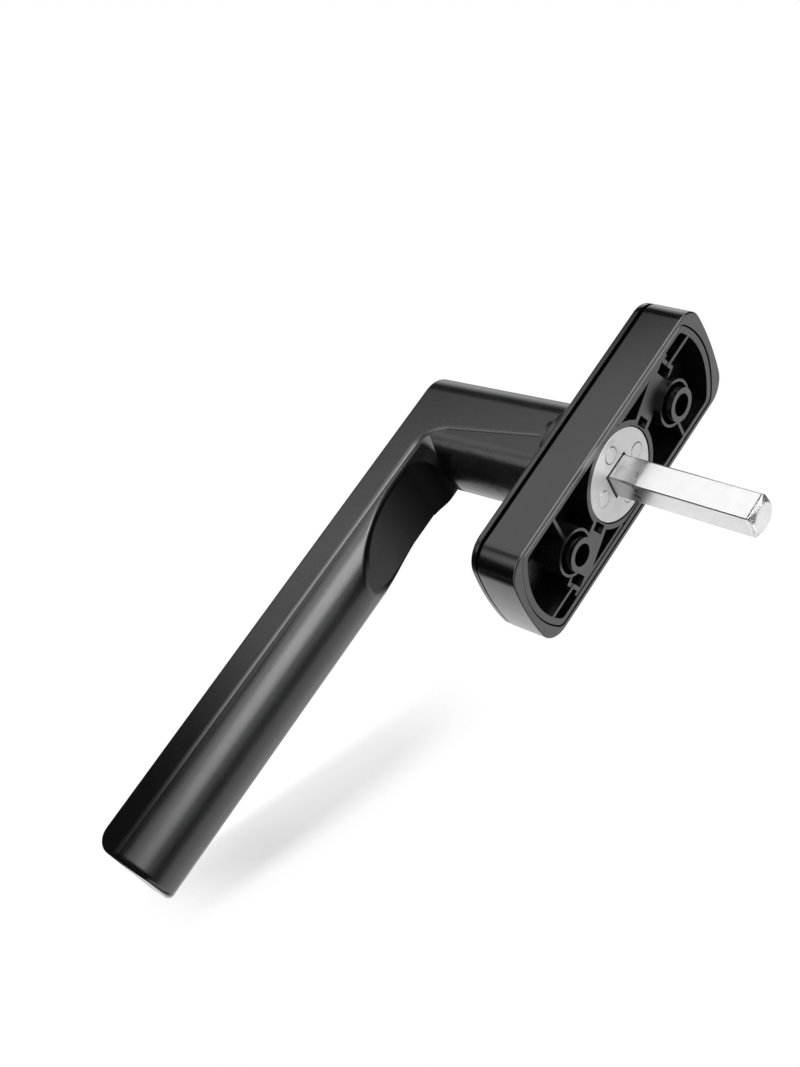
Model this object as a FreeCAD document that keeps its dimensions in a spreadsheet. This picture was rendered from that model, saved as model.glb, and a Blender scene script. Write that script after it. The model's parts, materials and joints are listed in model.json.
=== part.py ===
import FreeCAD
import Part
import Sketcher
import math
import os

# Lever handle on a long mounting plate, for a door or window gear that is driven by a square spindle.
# Frame: the origin lies on the spindle axis in the plane of the plate's back rim, which seats on the door.
# +Z runs up the plate, +Y into the door along the spindle, -Y to the hand, and the lever hangs towards -Z.

SIZES = [
    # fixing to the door
    ("screw_spacing", 43.0, "distance between the two fixing screws"),
    ("screw_hole_radius", 2.65, "clearance hole for the fixing screw"),
    ("countersink_radius", 4.7, "countersink at the front of the housing"),
    ("lug_radius", 4.0, "locating lug around each screw"),
    ("lug_reach", 2.8, "how far a lug stands out of the back rim"),
    # housing
    ("housing_half_width", 14.5, "half width of the housing"),
    ("housing_half_length", 39.45, "half length of the housing"),
    ("housing_rise", 0.3, "middle of the housing above the middle of the screws"),
    ("housing_end_radius", 70.0, "shallow curve of each end"),
    ("housing_corner_radius", 6.0, "corners of the housing in plan"),
    ("housing_depth", 10.0, "depth from back rim to front face"),
    ("housing_front_wall", 2.0, "front wall of the housing"),
    ("housing_rim_round", 0.4, "rounding of the back rim"),
    ("housing_front_round", 0.4, "rounding of the front edge"),
    ("cavity_half_width", 13.4, "half width of the cavity"),
    ("cavity_half_length", 37.65, "half length of the cavity"),
    ("cavity_end_radius", 22.4, "curve of the cavity's ends"),
    ("cavity_corner_radius", 2.5, "corners of the cavity"),
    # front cover
    ("cover_half_width", 15.0, "half width of the cover"),
    ("cover_half_length", 39.3, "half length of the cover"),
    ("cover_corner_radius", 6.5, "corners of the cover"),
    ("cover_thickness", 1.5, "thickness of the cover's rim"),
    ("cover_round", 0.6, "rounding of the cover's front edge"),
    ("cover_land_inset", 1.4, "how far the land lies inside the cover's outline"),
    ("cover_groove", 0.4, "width of the groove between housing and cover"),
    ("cover_slide_gap", 0.05, "air between the cover's land and the housing"),
    # hidden overlap of shapes that are joined, and run-out of cuts
    ("weld", 1.0, "hidden overlap"),
    # neck bushing
    ("bushing_flange_radius", 13.4, "flange that keeps the cover on"),
    ("bushing_flange_thickness", 1.0, "thickness of that flange"),
    ("bushing_sleeve_radius", 12.0, "sleeve that the cover turns on"),
    ("bushing_round", 0.3, "rounding of the flange's edge"),
    ("running_gap", 0.06, "radial clearance of a turning fit"),
    ("end_gap", 0.06, "axial clearance of a turning fit"),
    # lever
    ("hub_radius", 9.6, "hub that turns in the bushing"),
    ("foot_radius", 13.15, "round foot of the neck"),
    ("foot_thickness", 1.25, "thickness of the foot"),
    ("foot_round", 0.35, "rounding of the foot's edge"),
    ("foot_flare", 2.1, "hollow curve from the foot to the neck"),
    ("foot_neck_radius", 10.4, "inner end of that curve"),
    ("lever_half_width", 10.0, "half width of neck and grip"),
    ("lever_reach", 53.8, "back rim to the front of the grip at the elbow"),
    ("tip_reach", 54.6, "back rim to the front of the grip at its end"),
    ("lever_drop", 129.5, "spindle axis to the end of the grip"),
    ("neck_top_root", 11.7, "top of the neck at the foot"),
    ("neck_top_elbow", 9.0, "top of the neck at the elbow"),
    ("neck_top_round", 7.0, "rounding of the neck's top corners"),
    ("tip_front_round", 4.5, "front corner of the grip's end"),
    ("neck_edge_root", 1.4, "edge of the side face below the axis, at the foot"),
    ("neck_edge_elbow", 8.1, "edge of the side face below the axis, at the elbow"),
    ("side_width_top", 7.8, "width of the grip's side face at the elbow"),
    ("side_width_tip", 7.5, "width of the grip's side face at the end"),
    ("edge_bend", 7.0, "bend of that edge at the elbow"),
    ("front_round", 0.9, "rounding of the grip's front edges"),
    ("edge_round", 1.4, "rounding of the side face's inner edge"),
    ("back_half_width", 9.5, "half width of the domed back"),
    ("back_start", 7.57, "from the grip's front face to the start of its domed back"),
    ("back_height", 7.05, "height of the grip's dome"),
    ("back_side_radius", 5.0, "side curve of the dome"),
    ("back_end_round", 1.2, "rounding of the dome's lower end"),
    ("neck_belly_root", 13.2, "underside of the neck at the foot"),
    ("neck_belly_elbow", 14.9, "underside of the neck at the elbow"),
    ("belly_height", 6.9, "curved depth of the neck's underside"),
    ("belly_side_radius", 5.2, "side curve of the neck's underside"),
    ("scoop_radius", 58.0, "bend of the finger scoop under the elbow"),
    ("scoop_floor", 8.85, "thickness of the grip at the deepest point of the scoop"),
    ("scoop_bend_drop", 36.3, "where the scoop turns outward, below the axis"),
    ("scoop_end_drop", 60.0, "run-out of the scoop below the axis"),
    ("scoop_end_rise", 11.9, "how far the run-out lies above the scoop's floor"),
    ("elbow_hollow", 6.0, "hollow curve between the neck's underside and the scoop"),
    ("elbow_overlap", 0.4, "how deep the end of that curve lies inside the neck"),
    ("socket_side", 7.1, "square socket for the spindle"),
    ("socket_end", 31.0, "bottom of the socket in front of the back rim"),
    # spindle
    ("spindle_side", 7.0, "square of the spindle"),
    ("spindle_reach", 34.65, "how far the spindle stands out of the back rim"),
    ("spindle_start", 30.0, "inner end of the spindle"),
    ("spindle_edge_round", 0.55, "rounding of the spindle's long edges"),
    ("spindle_end_radius", 3.15, "round face at the spindle's end"),
    ("spindle_chamfer_length", 1.1, "length of the turned chamfer"),
    # rotor and retaining disc
    ("disc_radius", 10.98, "retaining disc"),
    ("disc_thickness", 1.5, "retaining disc"),
    ("disc_recess", 0.5, "disc below the back rim"),
    ("disc_hole_side", 7.7, "square hole in the disc"),
    ("disc_edge_round", 0.2, "rolled edge of the disc"),
    ("rotor_radius", 10.7, "detent rotor"),
    ("rotor_hole_side", 7.4, "square hole in the rotor"),
    ("notch_depth", 0.5, "depth of a detent notch"),
    ("notch_radius", 2.1, "curve of a detent notch"),
    ("rivet_radius", 1.95, "rivet through rotor and disc"),
    ("rivet_circle", 7.06, "rivets from the axis"),
    ("rivet_depth", 3.0, "rivet length inside the hub"),
    ("rivet_gap", 0.02, "air around a rivet before it is set"),
    ("rivet_proud", 0.08, "rivet head above the disc"),
    # carrier of the detent
    ("carrier_gap", 0.1, "air between carrier and housing wall"),
    ("carrier_wall", 1.4, "side wall of the carrier"),
    ("carrier_end_wall", 1.8, "end wall of the carrier"),
    ("carrier_recess", 0.15, "carrier below the back rim"),
    ("carrier_bevel", 0.3, "bevel around the carrier's open edge"),
    ("carrier_floor", 1.7, "floor of the carrier"),
    ("carrier_hole_gap", 0.2, "air between the carrier's hole and the hub"),
    ("guard_recess", 0.35, "guard and channels below the back rim"),
    ("rib_recess", 0.2, "ribs below the back rim"),
    ("guard_gap", 0.24, "air around the disc"),
    ("guard_wall", 1.25, "wall around the disc"),
    ("rib_thickness", 0.8, "stiffening ribs"),
    ("long_rib_offset", 8.4, "lengthwise rib, from the middle"),
    ("cheek_offset", 10.8, "inner face of the thick wall beside the channel"),
    ("cheek_start", 5.5, "start of that thick wall above the axis"),
    ("cheek_end", 26.0, "end of that thick wall above the axis"),
    ("collar_radius", 5.6, "collar around a lug"),
    ("collar_wall", 0.65, "wall of that collar"),
    ("collar_reach", 1.0, "collar above the back rim"),
    ("lug_gap", 0.1, "air between lug and carrier floor"),
    ("track_angle", 70.2, "direction of the spring channel"),
    ("track_half_width", 2.95, "half width of the channel's block"),
    ("track_flare", 1.0, "how much the block widens to the side wall"),
    ("track_flare_start", 21.3, "where the block meets the side wall"),
    ("track_end", 27.2, "outer end of the block"),
    ("channel_gap", 0.06, "air around the detent ball"),
    ("window_half_width", 1.8, "half width of the window over the ball"),
    ("window_end", 13.7, "outer end of the window over the ball"),
    ("pocket_start", 23.6, "inner end of the spring pocket"),
    ("pocket_end", 26.2, "outer end of the spring pocket"),
    ("pocket_half_width", 2.3, "half width of the spring pocket"),
    # detent
    ("ball_radius", 1.9, "detent ball"),
    ("ball_depth", 3.6, "ball centre in front of the back rim"),
    ("ball_clear", 0.12, "air between the pushed-back ball and the rotor"),
    ("spring_gap", 0.1, "air at each end of the spring"),
    ("spring_wire", 0.3, "radius of the spring's wire"),
    ("spring_radius", 1.45, "mean radius of the spring"),
    ("spring_pitch", 1.3, "pitch of the spring"),
]


class Size:
    """A number together with the spreadsheet expression that it comes from."""

    def __init__(self, value, text):
        self.value = value
        self.text = text

    @staticmethod
    def of(other):
        if isinstance(other, Size):
            return other
        return Size(float(other), repr(float(other)))

    def _join(self, other, sign, value):
        return Size(value, "(%s %s %s)" % (self.text, sign, other.text))

    def __add__(self, other):
        other = Size.of(other)
        return self._join(other, "+", self.value + other.value)

    def __sub__(self, other):
        other = Size.of(other)
        return self._join(other, "-", self.value - other.value)

    def __mul__(self, other):
        other = Size.of(other)
        return self._join(other, "*", self.value * other.value)

    def __truediv__(self, other):
        other = Size.of(other)
        return self._join(other, "/", self.value / other.value)

    def __neg__(self):
        return Size(-self.value, "(0 - %s)" % self.text)


doc = FreeCAD.newDocument("handle")
sheet = doc.addObject("Spreadsheet::Sheet", "sizes")
named = {}
for row, (alias, number, note) in enumerate(SIZES, start=1):
    sheet.set("A%d" % row, note)
    sheet.set("B%d" % row, str(number))
    sheet.setAlias("B%d" % row, alias)
    named[alias] = Size(number, "sizes." + alias)
doc.recompute()


class Named:
    def __getattr__(self, alias):
        return named[alias]


S = Named()
ZERO = Size.of(0)
V = FreeCAD.Vector


def bind(thing, prop, size):
    size = Size.of(size)
    if "." not in prop:
        setattr(thing, prop, size.value)
    thing.setExpression(prop, size.text)


def new_body(label):
    body = doc.addObject("PartDesign::Body", label)
    body.Label = label
    return body


def new_sketch(body, name, role, offset=ZERO, turn=None, rise=None):
    """A sketch on one of the body's own planes, moved along its normal and turned in the plane."""
    sketch = body.newObject("Sketcher::SketchObject", name)
    plane = next(f for f in body.Origin.OriginFeatures if f.Role == role)
    sketch.AttachmentSupport = [(plane, "")]
    sketch.MapMode = "FlatFace"
    place = FreeCAD.Placement(V(0, 0, offset.value), FreeCAD.Rotation())
    if turn is not None:
        place.Rotation = FreeCAD.Rotation(V(0, 0, 1), turn.value)
    if rise is not None:
        place.Base.y = rise.value
    sketch.AttachmentOffset = place
    sketch.setExpression("AttachmentOffset.Base.z", offset.text)
    if rise is not None:
        sketch.setExpression("AttachmentOffset.Base.y", rise.text)
    if turn is not None:
        sketch.setExpression("AttachmentOffset.Rotation.Angle", turn.text)
    return sketch


def fix(sketch, name, index, size):
    size = Size.of(size)
    sketch.renameConstraint(index, name)
    sketch.setExpression("Constraints." + name, size.text)


def pin_point(sketch, geo, pos, x, y):
    """Hold a point at x, y from the sketch's origin."""
    for axis, size, kind, on in (("x", x, "DistanceX", -2), ("y", y, "DistanceY", -1)):
        size = Size.of(size)
        if abs(size.value) < 1e-9:
            sketch.addConstraint(Sketcher.Constraint("PointOnObject", geo, pos, on))
            continue
        if size.value > 0:
            c = sketch.addConstraint(Sketcher.Constraint(kind, -1, 1, geo, pos, size.value))
        else:
            c = sketch.addConstraint(Sketcher.Constraint(kind, geo, pos, -1, 1, -size.value))
            size = -size
        fix(sketch, "p%d_%d_%s" % (geo, pos, axis), c, size)


def arc(sketch, centre, radius, start, end):
    base = Part.Circle(V(centre[0], centre[1], 0), V(0, 0, 1), radius)
    return sketch.addGeometry(Part.ArcOfCircle(base, start, end), False)


def polygon(sketch, points, rounds=None):
    """Closed outline through the points; rounds gives a radius for the corners that are rounded."""
    rounds = rounds or {}
    first = len(sketch.Geometry)
    count = len(points)
    xy = [V(Size.of(x).value, Size.of(y).value, 0) for x, y in points]
    start = list(xy)
    end = list(xy)
    for i, radius in rounds.items():
        back = (xy[i - 1] - xy[i]).normalize()
        ahead = (xy[(i + 1) % count] - xy[i]).normalize()
        cut = Size.of(radius).value / math.tan(back.getAngle(ahead) / 2)
        end[i] = xy[i] + back * cut
        start[i] = xy[i] + ahead * cut
    for i in range(count):
        sketch.addGeometry(Part.LineSegment(start[i], end[(i + 1) % count]), False)
    for i in range(count):
        before = first + (i - 1) % count
        if i not in rounds:
            sketch.addConstraint(Sketcher.Constraint("Coincident", before, 2, first + i, 1))
            pin_point(sketch, first + i, 1, points[i][0], points[i][1])
            continue
        radius = Size.of(rounds[i])
        middle = (end[i] - xy[i]) + (start[i] - xy[i])
        half = (end[i] - xy[i]).getAngle(start[i] - xy[i]) / 2
        centre = xy[i] + middle.normalize() * (radius.value / math.sin(half))
        to_end = math.atan2(end[i].y - centre.y, end[i].x - centre.x)
        to_start = math.atan2(start[i].y - centre.y, start[i].x - centre.x)
        left = (end[i] - xy[i]).cross(start[i] - xy[i]).z < 0
        if left:
            bend = arc(sketch, (centre.x, centre.y), radius.value, to_end, to_start)
            one, two = 1, 2
        else:
            bend = arc(sketch, (centre.x, centre.y), radius.value, to_start, to_end)
            one, two = 2, 1
        sketch.addConstraint(Sketcher.Constraint("Tangent", before, 2, bend, one))
        sketch.addConstraint(Sketcher.Constraint("Tangent", bend, two, first + i, 1))
        c = sketch.addConstraint(Sketcher.Constraint("Radius", bend, radius.value))
        fix(sketch, "bend%d" % i, c, radius)
        corner = sketch.addGeometry(Part.Point(xy[i]), True)
        sketch.addConstraint(Sketcher.Constraint("PointOnObject", corner, 1, before))
        sketch.addConstraint(Sketcher.Constraint("PointOnObject", corner, 1, first + i))
        pin_point(sketch, corner, 1, points[i][0], points[i][1])


def circle(sketch, x, y, radius):
    radius = Size.of(radius)
    centre = V(Size.of(x).value, Size.of(y).value, 0)
    geo = sketch.addGeometry(Part.Circle(centre, V(0, 0, 1), radius.value), False)
    c = sketch.addConstraint(Sketcher.Constraint("Radius", geo, radius.value))
    fix(sketch, "r%d" % geo, c, radius)
    pin_point(sketch, geo, 3, x, y)


def square(sketch, side):
    half = side / 2
    polygon(sketch, [(-half, -half), (half, -half), (half, half), (-half, half)])


def plate_outline(sketch, half_width, half_length, end_radius, corner_radius):
    """Straight sides, shallow curved ends and round corners, all tangent."""
    w = half_width.value
    re = end_radius.value
    rc = corner_radius.value
    ce = half_length.value - re
    cx = w - rc
    cz = ce + math.sqrt((re - rc) ** 2 - cx ** 2)
    lean = math.atan2(cz - ce, cx)
    pi = math.pi
    right = sketch.addGeometry(Part.LineSegment(V(w, -cz, 0), V(w, cz, 0)), False)
    ne = arc(sketch, (cx, cz), rc, 0, lean)
    top = arc(sketch, (0, ce), re, lean, pi - lean)
    nw = arc(sketch, (-cx, cz), rc, pi - lean, pi)
    left = sketch.addGeometry(Part.LineSegment(V(-w, cz, 0), V(-w, -cz, 0)), False)
    sw = arc(sketch, (-cx, -cz), rc, pi, pi + lean)
    low = arc(sketch, (0, -ce), re, pi + lean, 2 * pi - lean)
    se = arc(sketch, (cx, -cz), rc, 2 * pi - lean, 2 * pi)
    ring = [right, ne, top, nw, left, sw, low, se]
    for i, geo in enumerate(ring):
        after = ring[(i + 1) % len(ring)]
        sketch.addConstraint(Sketcher.Constraint("Tangent", geo, 2, after, 1))
    sketch.addConstraint(Sketcher.Constraint("Vertical", right))
    sketch.addConstraint(Sketcher.Constraint("Vertical", left))
    for other in (nw, sw, se):
        sketch.addConstraint(Sketcher.Constraint("Equal", ne, other))
    sketch.addConstraint(Sketcher.Constraint("Equal", top, low))
    sketch.addConstraint(Sketcher.Constraint("PointOnObject", top, 3, -2))
    sketch.addConstraint(Sketcher.Constraint("PointOnObject", low, 3, -2))
    fix(sketch, "corner", sketch.addConstraint(Sketcher.Constraint("Radius", ne, rc)), corner_radius)
    fix(sketch, "curve", sketch.addConstraint(Sketcher.Constraint("Radius", top, re)), end_radius)
    fix(sketch, "wide", sketch.addConstraint(Sketcher.Constraint("DistanceX", -1, 1, right, 1, w)), half_width)
    c = sketch.addConstraint(Sketcher.Constraint("DistanceX", left, 1, -1, 1, w))
    fix(sketch, "wide_left", c, half_width)
    reach = end_radius - half_length
    for name, geo, sign in (("up", top, 1), ("down", low, -1)):
        span = reach if sign > 0 else -reach
        if span.value > 0:
            c = sketch.addConstraint(Sketcher.Constraint("DistanceY", geo, 3, -1, 1, span.value))
            fix(sketch, name, c, span)
        else:
            c = sketch.addConstraint(Sketcher.Constraint("DistanceY", -1, 1, geo, 3, -span.value))
            fix(sketch, name, c, -span)


def dome(sketch, half_width, base, top, side_radius, root, down=False):
    """A flat foot with upright flanks, two side curves and a crown, all tangent, symmetric about the y axis."""
    flip = -1 if down else 1
    w = half_width.value
    rs = side_radius.value
    h = top.value - base.value
    cx = w - rs
    crown = (cx ** 2 + h ** 2 - rs ** 2) / (2 * (h - rs))
    cy = base.value + h - crown
    lean = math.atan2(base.value - cy, cx)
    b = base.value
    f = root.value

    def at(x, y):
        return V(x, flip * y, 0)

    def bow(centre, radius, start, end):
        if down:
            start, end = -end, -start
        return arc(sketch, (centre[0], flip * centre[1]), radius, start, end)

    pi = math.pi
    foot = sketch.addGeometry(Part.LineSegment(at(-w, f), at(w, f)), False)
    right = sketch.addGeometry(Part.LineSegment(at(w, f), at(w, b)), False)
    side_r = bow((cx, b), rs, 0, lean)
    crest = bow((0, cy), crown, lean, pi - lean)
    side_l = bow((-cx, b), rs, pi - lean, pi)
    left = sketch.addGeometry(Part.LineSegment(at(-w, b), at(-w, f)), False)
    one, two = (2, 1) if down else (1, 2)
    sketch.addConstraint(Sketcher.Constraint("Coincident", foot, 2, right, 1))
    sketch.addConstraint(Sketcher.Constraint("Tangent", right, 2, side_r, one))
    sketch.addConstraint(Sketcher.Constraint("Tangent", side_r, two, crest, one))
    sketch.addConstraint(Sketcher.Constraint("Tangent", crest, two, side_l, one))
    sketch.addConstraint(Sketcher.Constraint("Tangent", side_l, two, left, 1))
    sketch.addConstraint(Sketcher.Constraint("Coincident", left, 2, foot, 1))
    sketch.addConstraint(Sketcher.Constraint("Vertical", right))
    sketch.addConstraint(Sketcher.Constraint("Vertical", left))
    sketch.addConstraint(Sketcher.Constraint("Horizontal", foot))
    sketch.addConstraint(Sketcher.Constraint("Equal", side_r, side_l))
    sketch.addConstraint(Sketcher.Constraint("PointOnObject", crest, 3, -2))
    fix(sketch, "side", sketch.addConstraint(Sketcher.Constraint("Radius", side_r, rs)), side_radius)
    c = sketch.addConstraint(Sketcher.Constraint("DistanceX", -1, 1, right, 1, w))
    fix(sketch, "half", c, half_width)
    c = sketch.addConstraint(Sketcher.Constraint("DistanceX", left, 1, -1, 1, w))
    fix(sketch, "half_left", c, half_width)
    for name, geo, pos, size in (("foot", foot, 1, root), ("base", side_r, 3, base)):
        level = size if flip > 0 else -size
        if level.value > 0:
            c = sketch.addConstraint(Sketcher.Constraint("DistanceY", -1, 1, geo, pos, level.value))
            fix(sketch, name, c, level)
        else:
            c = sketch.addConstraint(Sketcher.Constraint("DistanceY", geo, pos, -1, 1, -level.value))
            fix(sketch, name, c, -level)
    peak = sketch.addGeometry(Part.Point(at(0, top.value)), True)
    sketch.addConstraint(Sketcher.Constraint("PointOnObject", peak, 1, crest))
    pin_point(sketch, peak, 1, ZERO, top if flip > 0 else -top)


def feature(body, kind, name, sketch, length, both=False, reverse=False):
    """Pad or Pocket along the sketch's normal, which is -Y for a sketch in the plate's plane."""
    item = body.newObject("PartDesign::" + kind, name)
    item.Profile = (sketch, [""])
    bind(item, "Length", length)
    item.Reversed = reverse if kind == "Pad" else not reverse
    if both:
        item.SideType = "Symmetric"
    doc.recompute()
    return item


def edges_where(shape, test):
    found = []
    for i, edge in enumerate(shape.Edges, start=1):
        if test(edge):
            found.append("Edge%d" % i)
    return found


def soften(body, name, kind, size, test):
    """Round or bevel the edges of the body's tip that pass the test."""
    base = body.Tip
    names = edges_where(base.Shape, test)
    if not names:
        raise RuntimeError("no edges for " + name)
    item = body.newObject("PartDesign::" + kind, name)
    item.Base = (base, names)
    bind(item, "Radius" if kind == "Fillet" else "Size", size)
    doc.recompute()
    return item


def pattern(body, name, originals, count):
    """Repeat features evenly about the spindle axis."""
    item = body.newObject("PartDesign::PolarPattern", name)
    item.Originals = originals
    axis = next(f for f in body.Origin.OriginFeatures if f.Role == "Y_Axis")
    item.Axis = (axis, [""])
    item.Angle = 360
    item.Occurrences = count
    body.Tip = item
    doc.recompute()
    return item


def flat_at(y):
    """Edges that lie in the plane at this Y."""
    def test(edge):
        box = edge.BoundBox
        return abs(box.YMin - y) < 1e-4 and abs(box.YMax - y) < 1e-4
    return test


# Levels along the spindle axis, as distances in front of the back rim
cover_back = S.housing_depth + S.cover_groove
cover_front = cover_back + S.cover_thickness
flange_back = cover_front + S.end_gap
flange_front = flange_back + S.bushing_flange_thickness
foot_back = flange_front + S.end_gap
foot_front = foot_back + S.foot_thickness
cavity_depth = S.housing_depth - S.housing_front_wall
floor_top = cavity_depth - S.carrier_floor
rotor_front = floor_top - S.end_gap
rotor_back = S.disc_recess + S.disc_thickness
half_spacing = S.screw_spacing / 2

# Housing: cast shell, open to the door, with the two fixing lugs
housing = new_body("housing")
sk = new_sketch(housing, "housing_plan", "XZ_Plane", rise=S.housing_rise)
plate_outline(sk, S.housing_half_width, S.housing_half_length, S.housing_end_radius, S.housing_corner_radius)
feature(housing, "Pad", "housing_block", sk, S.housing_depth)
soften(housing, "housing_rim", "Fillet", S.housing_rim_round, flat_at(0))
soften(housing, "housing_edge", "Fillet", S.housing_front_round, flat_at(-S.housing_depth.value))
sk = new_sketch(housing, "cavity_plan", "XZ_Plane")
plate_outline(sk, S.cavity_half_width, S.cavity_half_length, S.cavity_end_radius, S.cavity_corner_radius)
feature(housing, "Pocket", "housing_cavity", sk, cavity_depth)
sk = new_sketch(housing, "sleeve_hole", "XZ_Plane")
circle(sk, ZERO, ZERO, S.bushing_sleeve_radius)
feature(housing, "Pocket", "housing_bore", sk, S.housing_depth + 1)
sk = new_sketch(housing, "lug_plan", "XZ_Plane", -S.lug_reach)
circle(sk, ZERO, half_spacing, S.lug_radius)
lug = feature(housing, "Pad", "lug", sk, S.lug_reach + S.housing_depth - S.housing_front_wall / 2)
sk = new_sketch(housing, "screw_plan", "XZ_Plane", -S.lug_reach - 1)
circle(sk, ZERO, half_spacing, S.screw_hole_radius)
screw = feature(housing, "Pocket", "screw_hole", sk, S.lug_reach + S.housing_depth + 2)
sk = new_sketch(housing, "countersink_section", "YZ_Plane")
sink = S.countersink_radius - S.screw_hole_radius
polygon(sk, [
    (-S.housing_depth - 0.5, half_spacing),
    (-S.housing_depth - 0.5, half_spacing + S.countersink_radius),
    (-S.housing_depth, half_spacing + S.countersink_radius),
    (-S.housing_depth + sink, half_spacing + S.screw_hole_radius),
    (-S.housing_depth + sink, half_spacing),
])
cone = housing.newObject("PartDesign::Groove", "countersink")
cone.Profile = (sk, [""])
cone.ReferenceAxis = (sk, ["Edge5"])
cone.Angle = 360
doc.recompute()
pattern(housing, "both_lugs", [lug, screw, cone], 2)

# Front cover: thin plate that swings aside over the screws
cover = new_body("front_cover")
sk = new_sketch(cover, "cover_plan", "XZ_Plane", cover_back, rise=S.housing_rise)
plate_outline(sk, S.cover_half_width, S.cover_half_length, S.housing_end_radius, S.cover_corner_radius)
feature(cover, "Pad", "cover_plate", sk, S.cover_thickness)
soften(cover, "cover_edge", "Fillet", S.cover_round, flat_at(-cover_front.value))
land_back = S.housing_depth + S.cover_slide_gap
sk = new_sketch(cover, "land_plan", "XZ_Plane", land_back, rise=S.housing_rise)
plate_outline(
    sk,
    S.cover_half_width - S.cover_land_inset,
    S.cover_half_length - S.cover_land_inset,
    S.housing_end_radius - S.cover_land_inset,
    S.cover_corner_radius - S.cover_land_inset,
)
feature(cover, "Pad", "cover_land", sk, S.cover_groove - S.cover_slide_gap)
sk = new_sketch(cover, "cover_hole_plan", "XZ_Plane", S.housing_depth)
circle(sk, ZERO, ZERO, S.bushing_sleeve_radius + S.running_gap)
feature(cover, "Pocket", "cover_hole", sk, S.cover_groove + S.cover_thickness + 1)

# Neck bushing: flanged sleeve, fast in the housing
bushing = new_body("neck_bushing")
bore = S.hub_radius + S.running_gap
sk = new_sketch(bushing, "bushing_section", "YZ_Plane")
polygon(sk, [
    (-cavity_depth, bore),
    (-cavity_depth, S.bushing_sleeve_radius),
    (-flange_back, S.bushing_sleeve_radius),
    (-flange_back, S.bushing_flange_radius),
    (-flange_front, S.bushing_flange_radius),
    (-flange_front, bore),
])
turned = bushing.newObject("PartDesign::Revolution", "bushing_body")
turned.Profile = (sk, [""])
turned.ReferenceAxis = (sk, ["H_Axis"])
turned.Angle = 360
doc.recompute()


def flange_rim(edge):
    box = edge.BoundBox
    at_front = abs(box.YMin + flange_front.value) < 1e-4 and abs(box.YMax + flange_front.value) < 1e-4
    return at_front and box.XLength > 2 * bore.value + 1


soften(bushing, "bushing_edge", "Fillet", S.bushing_round, flange_rim)

root = foot_front - S.foot_thickness / 2
edge_top = S.lever_reach - S.side_width_top
edge_tip = S.tip_reach - S.side_width_tip
back_base = S.lever_reach - S.back_start
scoop_floor = S.lever_reach - S.scoop_floor
dome_end = S.neck_edge_elbow + S.weld

# Grip: domed back of the lever with the finger scoop, joined to the side faces below
grip = new_body("grip_back_form")
sk = new_sketch(grip, "back_section", "XY_Plane", -S.lever_drop)
dome(
    sk,
    S.back_half_width,
    -back_base,
    S.back_height - back_base,
    S.back_side_radius,
    -edge_tip - S.weld,
)
feature(grip, "Pad", "grip_back", sk, S.lever_drop - dome_end)


def dome_foot(edge):
    """Lower edge of the domed back, without the part inside the side faces."""
    box = edge.BoundBox
    low = abs(box.ZMin + S.lever_drop.value) < 1e-4 and abs(box.ZMax + S.lever_drop.value) < 1e-4
    return low and edge.CenterOfMass.y > -back_base.value - 0.1


soften(grip, "grip_back_end", "Fillet", S.back_end_round, dome_foot)
sk = new_sketch(grip, "scoop_section", "YZ_Plane")
scoop_top = S.neck_belly_elbow - S.elbow_overlap
scoop_open = scoop_floor - S.scoop_end_rise - S.weld
polygon(sk, [
    (-scoop_floor, -scoop_top),
    (-scoop_floor, -S.scoop_bend_drop),
    (S.scoop_end_rise - scoop_floor, -S.scoop_end_drop),
    (-scoop_open, -S.scoop_end_drop),
    (-scoop_open, -scoop_top),
], {0: S.elbow_hollow, 1: S.scoop_radius})
feature(grip, "Pocket", "finger_scoop", sk, S.lever_half_width * 2, both=True)

# Lever: side faces with a domed back, on a round foot and hub
lever = new_body("lever")
sk = new_sketch(lever, "side_profile", "YZ_Plane")
profile = [
    (-root, S.neck_top_root),
    (-S.lever_reach, S.neck_top_elbow),
    (-S.tip_reach, -S.lever_drop),
    (-edge_tip, -S.lever_drop),
    (-edge_top, -S.neck_edge_elbow),
    (-root, -S.neck_edge_root),
]
polygon(sk, profile, {2: S.tip_front_round, 4: S.edge_bend})
feature(lever, "Pad", "side_slab", sk, S.lever_half_width * 2, both=True)


def on_side(edge):
    box = edge.BoundBox
    return box.XLength < 1e-6 and abs(abs(box.XMin) - S.lever_half_width.value) < 1e-4


def neck_top_edge(edge):
    return on_side(edge) and edge.CenterOfMass.z > S.neck_top_elbow.value


def front_edge(edge):
    """The long front edges; the rounding runs on around the grip's end and over the elbow."""
    return on_side(edge) and edge.CenterOfMass.y < -S.lever_reach.value


def inner_edge(edge):
    """Edges of the two side faces along the neck's underside and the grip's back."""
    box = edge.BoundBox
    reach = -edge_tip.value - 1e-3
    return on_side(edge) and edge.CenterOfMass.z < 0 and box.YMin > reach and box.DiagonalLength > 2


soften(lever, "neck_top_corners", "Fillet", S.neck_top_round, neck_top_edge)
soften(lever, "front_edges", "Fillet", S.front_round, front_edge)
soften(lever, "inner_edges", "Fillet", S.edge_round, inner_edge)

near = new_sketch(lever, "belly_root", "XZ_Plane", root)
dome(
    near,
    S.back_half_width,
    S.neck_belly_root - S.belly_height,
    S.neck_belly_root,
    S.belly_side_radius,
    -S.weld,
    down=True,
)
far = new_sketch(lever, "belly_elbow", "XZ_Plane", edge_tip)
dome(
    far,
    S.back_half_width,
    S.neck_belly_elbow - S.belly_height,
    S.neck_belly_elbow,
    S.belly_side_radius,
    -S.weld,
    down=True,
)
loft = lever.newObject("PartDesign::AdditiveLoft", "neck_belly")
loft.Profile = (near, [""])
loft.Sections = [(far, [""])]
doc.recompute()

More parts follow.
